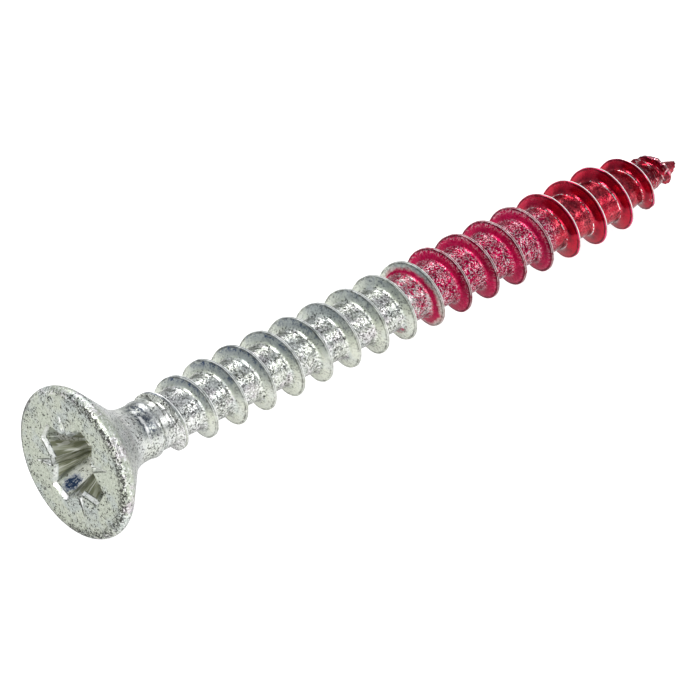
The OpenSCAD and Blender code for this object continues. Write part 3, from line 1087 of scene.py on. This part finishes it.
def plain_lacquer(f):
    """The red itself, with painted shade in soft patches beside the foot of each flank, and on
    one side of the flanks.
    """
    colour = f.blend(deep, CRIMSON, BLOOD_RED)
    # Painted shade in soft patches beside the foot of each flank
    beside_foot = f.rise.band(0.08, 0.2, 0.3, 0.75)
    shade_beside_foot = beside_foot * f.marks("painted shade beside the foot")
    colour = f.blend(shade_beside_foot * (0.3 + 0.5 * deep), colour, DARK_RED)
    # Painted shade on one side of the flanks
    shaded = f.side(-110).ramp(0.7, 0.95) * flank * f.marks("shaded flanks")
    colour = f.blend(shaded * 0.45 * (1 - deep), colour, DARK_RED)
    return f.blend(root * f.marks("dark roots") * deep * 0.7, colour, DARK_RED)


lacquer = plain_lacquer(finish)
print("dipped twice from", TWICE_DIPPED_FROM, "mm")

# %% Metal that shines through


def thin_lacquer(f, colour):
    """The metal shines through in a net of thin lines, between dark ones."""
    near_crest = f.rise.ramp(0.5, 0.8) * (0.3 + 0.7 * f.under.ramp(0.1, -0.8))
    patchy = 0.55 + 0.45 * f.marks("bare patches")
    bare = (root * patchy * (1 - 0.4 * deep)).most(0.6 * near_crest * (1 - 0.6 * deep)).most(0.03)
    shown = f.veins(5.6, 0.038).most(f.marks("bare metal"))
    colour = f.blend(shown * bare, colour, f.blend(deep, PINK_SILVER, EMBER))
    colour = f.blend(f.marks("embers") * root * deep * 0.9, colour, EMBER)
    shade = f.marks("dark grain in lacquer") * (0.4 + 0.5 * root)
    thin_line = veins * (0.3 + 0.7 * root)
    return f.blend(shade.most(thin_line) * (1 - 0.5 * deep), colour, DARK_RED)


lacquer = thin_lacquer(finish, lacquer)
print("nodes with the metal under the lacquer:", len(finish.nodes))

# %% Lines along the thread
LAST_RIDGE = (LENGTH - 3.2, LENGTH - 2.6, LENGTH - 1.3, LENGTH - 0.9)


def lined_lacquer(f, colour):
    """Painted shade lines at the edges of a crest. Where dipped twice, a painted glint at its
    foot, and a lighter top.
    """
    # Painted shade along the edges of the crest and between its lips
    colour = f.blend(edge_line * f.marks("dark edge in lacquer") * 0.9, colour, DARK_RED)
    valley = f.rise.band(0.955, 0.960, 0.968, 0.978)
    colour = f.blend(valley * (1 - deep) * 0.9, colour, DARK_RED)
    # A painted highlight: a broken glint along the foot of each flank
    foot_line = f.rise.band(0.03, 0.045, 0.07, 0.085) * threaded
    colour = f.blend(f.marks("glints") * foot_line * deep, colour, BRIGHT)
    top = f.rise.ramp(0.955, 0.962) * deep * f.marks("light crests")
    return f.blend(top * 0.7, colour, LIGHT_CRIMSON)


def folded_lacquer(f, colour):
    """The last ridge has folds painted in shade and light: dark patches, each with a dark line
    and a broken white highlight.
    """
    last_ridge = f.s.band(*LAST_RIDGE)
    folds = f.noise(1.0, 3, 0.75, f.stretched((0.6, 0.6, 7.0)))
    # Painted shade and painted highlights of the folds
    colour = f.blend(folds.ramp(0.47, 0.40) * last_ridge * 0.7, colour, DARK_RED)
    colour = f.blend(f.line(folds, 0.52, 0.025, 0.01) * last_ridge * 0.9, colour, DARK_RED)
    white = f.line(folds, 0.56, 0.015, 0.006) * f.marks("broken fold")
    return f.blend(white * last_ridge, colour, BRIGHT)


lacquer = folded_lacquer(finish, lined_lacquer(finish, lacquer))
print("nodes in zinc and lacquer:", len(finish.nodes))

# %% [markdown]
# ### Where the lacquer lies
# The screw was dipped to a line, and the lacquer filled the first groove up to the thread's next
# flank and ran off the outer part of that. So its edge is a place along the screw, moved by noise
# and by the rise of the thread. It is worn on the crests, and two drops of it fell on the zinc.

# %% The edge of the lacquer and its wear
LACQUER_FROM = 20.75
GROOVE_FILLED = (LACQUER_FROM + 1.4, LACQUER_FROM + 2.2)
RED_SPLASHES = (((-1.57, 0.53, 12.7), 0.11), ((0.75, -0.94, 20.48), 0.27))


def splash(f, centre, size):
    """A small drop of lacquer at a place, with an uneven edge."""
    uneven = (f.noise(5.0, 3, 0.7) - 0.5) * 1.6 * size
    return (f.distance(f.own, centre) + uneven).ramp(size, 0.7 * size)


def dipped(f):
    """1 where there is lacquer. The edge is soft and ragged on the flanks, and clean between them."""
    ragged = (f.noise(3.5, 5, 0.85) - 0.5) * 0.9
    climb = (f.rise + ragged * flank).ramp(0.25, 0.75) * 1.9
    reached = f.s + (f.noise(1.1, 3, 0.7) - 0.5) * 1.4
    soft = 0.12 + 0.45 * flank
    mask = (reached - climb).ramp(LACQUER_FROM - soft, LACQUER_FROM + soft)
    thin = (1 - reached.ramp(*GROOVE_FILLED)) * root
    mask = mask * (1 - 0.85 * thin * f.marks("unfilled groove"))
    for place, size in RED_SPLASHES:
        mask = mask.most(splash(f, place, size) * 0.95)
    return mask


lacquered = dipped(finish)
# A painted highlight: a white line on the side of each crest towards the point, strongest on one side
painted_highlight_line = finish.rise.ramp(0.966, 0.98) * finish.point_side * deep
painted_highlight_line = painted_highlight_line * (0.25 + 0.75 * finish.side(-150).ramp(0.25, 0.6))
painted_highlight_line = painted_highlight_line * finish.s.ramp(LENGTH - 3.0, LENGTH - 2.2, 1.0, 0.15)
crest = (lips * (1 - deep)).most(painted_highlight_line)
worn = crest * finish.marks("worn crests").most(deep)
coat = lacquered * (1 - worn * (0.75 + 0.25 * deep))
print("lacquer from", LACQUER_FROM, "mm")

# %% [markdown]
# ### The shader
# One Principled shader serves both. The bump is in millimetres: a broad swell, fine pits that make
# the roots sparkle, and turned rings on the neck. The milky skin of the plating, the worn crests
# and the lacquer scatter part of the light, so the metal share falls there, and the second dip is
# clear and glossy.

# %% Unevenness too fine for the mesh
SWELL = 0.022
PITS = 0.010
TURNED_RINGS = 0.008
swell = finish.noise(2.6, 2) * SWELL * (0.35 + root)
pitted = 0.35 + (1.7 + 0.6 * lacquered) * rough * (1 - 0.4 * deep)
pits = finish.noise(8.0, 3, 0.7) * PITS * pitted
rings = finish.noise(1.2, 3, 0.7, finish.stretched((0.25, 0.25, 7.0))) * TURNED_RINGS * neck
bump = finish.add("ShaderNodeBump", {}, Strength=1.0, Distance=MM, Height=swell + pits + rings)
print("deepest pit in mm:", PITS * (0.35 + 1.7 + 0.6))

# %% Gloss, metal and colour
satin = finish.noise(4.0, 2).ramp(0.3, 0.7, 0.32, 0.44)
roughness = satin - 0.2 * root * (1 - deep) - 0.2 * deep * lacquered - 0.06 * neck - 0.12 * lips
metal = 0.78 - 0.55 * crest - 0.25 * facets - 0.2 * cone - coat * (0.18 - 0.26 * deep)
shader = finish.add(
    "ShaderNodeBsdfPrincipled",
    {},
    Base_Color=finish.blend(painted_highlight_line, finish.blend(coat, zinc, lacquer), BRIGHT),
    Metallic=metal,
    Specular_IOR_Level=0.1,
    Specular_Tint=(0.5, 0.5, 0.5, 1),
    Roughness=roughness,
    Normal=bump,
    Coat_Weight=coat * (0.06 + 0.3 * deep),
    Coat_Roughness=0.1,
    Coat_IOR=1.4,
)
finish.add("ShaderNodeOutputMaterial", {}, Surface=shader)
print("nodes in the finish:", len(finish.nodes))

# %% [markdown]
# ## Floor and light
# The photograph is a cut-out on white. A pale floor stands for the white. It glows only for the
# camera and for reflections, so that the metal shows it too, and it throws no light of its own on
# the screw. Under it the floor stays a grey cloth that takes a shadow. The sky is a weak, even
# blue-white, and four square lamps give the metal its soft highlights.

# %% Floor
FLOOR_HALF_M = 2
FLOOR_GREY = 0.35
FLOOR_GLOW = 0.95
corners = [(x * FLOOR_HALF_M, y * FLOOR_HALF_M, 0) for x, y in ((-1, -1), (1, -1), (1, 1), (-1, 1))]
floor_mesh = bpy.data.meshes.new("floor")
floor_mesh.from_pydata(corners, [], [(0, 1, 2, 3)])
floor = bpy.data.objects.new("floor", floor_mesh)
bpy.context.scene.collection.objects.link(floor)


def pale_floor():
    """Grey cloth, with a white glow that only the camera and reflections see."""
    material = bpy.data.materials.new("pale_floor")
    material.use_nodes = True
    material.node_tree.nodes.clear()
    g = Graph(material.node_tree)
    ray = g.add("ShaderNodeLightPath", {})
    seen = ray.out("Is Camera Ray").most(ray.out("Is Glossy Ray")).most(ray.out("Is Transmission Ray"))
    cloth = g.add("ShaderNodeBsdfDiffuse", {}, Color=(FLOOR_GREY, FLOOR_GREY, FLOOR_GREY, 1))
    glow = g.add("ShaderNodeEmission", {}, Color=(1, 1, 1, 1), Strength=seen * FLOOR_GLOW)
    both = g.add("ShaderNodeAddShader", {}, cloth, glow)
    g.add("ShaderNodeOutputMaterial", {}, Surface=both)
    return material


floor_mesh.materials.append(pale_floor())
print("floor:", 2 * FLOOR_HALF_M, "m square")

# %% Sky
SKY_TONE = (0.9, 0.95, 1.0, 1)
SKY_STRENGTH = 0.44
world = bpy.data.worlds.new("studio")
bpy.context.scene.world = world
world.use_nodes = True
world.node_tree.nodes.clear()
g = Graph(world.node_tree)
sky = g.add("ShaderNodeBackground", {}, Color=SKY_TONE, Strength=SKY_STRENGTH)
g.add("ShaderNodeOutputWorld", {}, Surface=sky)
print("sky:", SKY_STRENGTH)

# %% Lamps
LAMP_DISTANCE_M = 0.4


def softbox(name, azimuth, elevation, size, power):
    """A square lamp that looks at the screw as a camera would from that azimuth and elevation."""
    lamp = bpy.data.lights.new(name, "AREA")
    lamp.shape = "SQUARE"
    lamp.size = size
    lamp.energy = power
    holder = bpy.data.objects.new(name, lamp)
    towards = view_axes(azimuth, elevation)[2]
    holder.location = -towards * LAMP_DISTANCE_M
    holder.rotation_euler = towards.to_track_quat("-Z", "Y").to_euler()
    bpy.context.scene.collection.objects.link(holder)
    print("lamp", name, "at", [round(v, 3) for v in holder.location])


softbox("key", azimuth=-85, elevation=45, size=0.1, power=0.8)
softbox("front", azimuth=-50, elevation=10, size=0.12, power=0.3)
softbox("fill", azimuth=30, elevation=35, size=0.16, power=0.32)
softbox("back", azimuth=150, elevation=50, size=0.2, power=0.55)

# %% [markdown]
# ## Hand the piece to the frame
# The skin stands for the one solid of the packed model and rides on the root body, because a screw
# has no joints. The packed solid is hidden.

# %% Ride and replace
bpy.context.scene.view_settings.view_transform = "Standard"
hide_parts("screw")
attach(screw, "root")
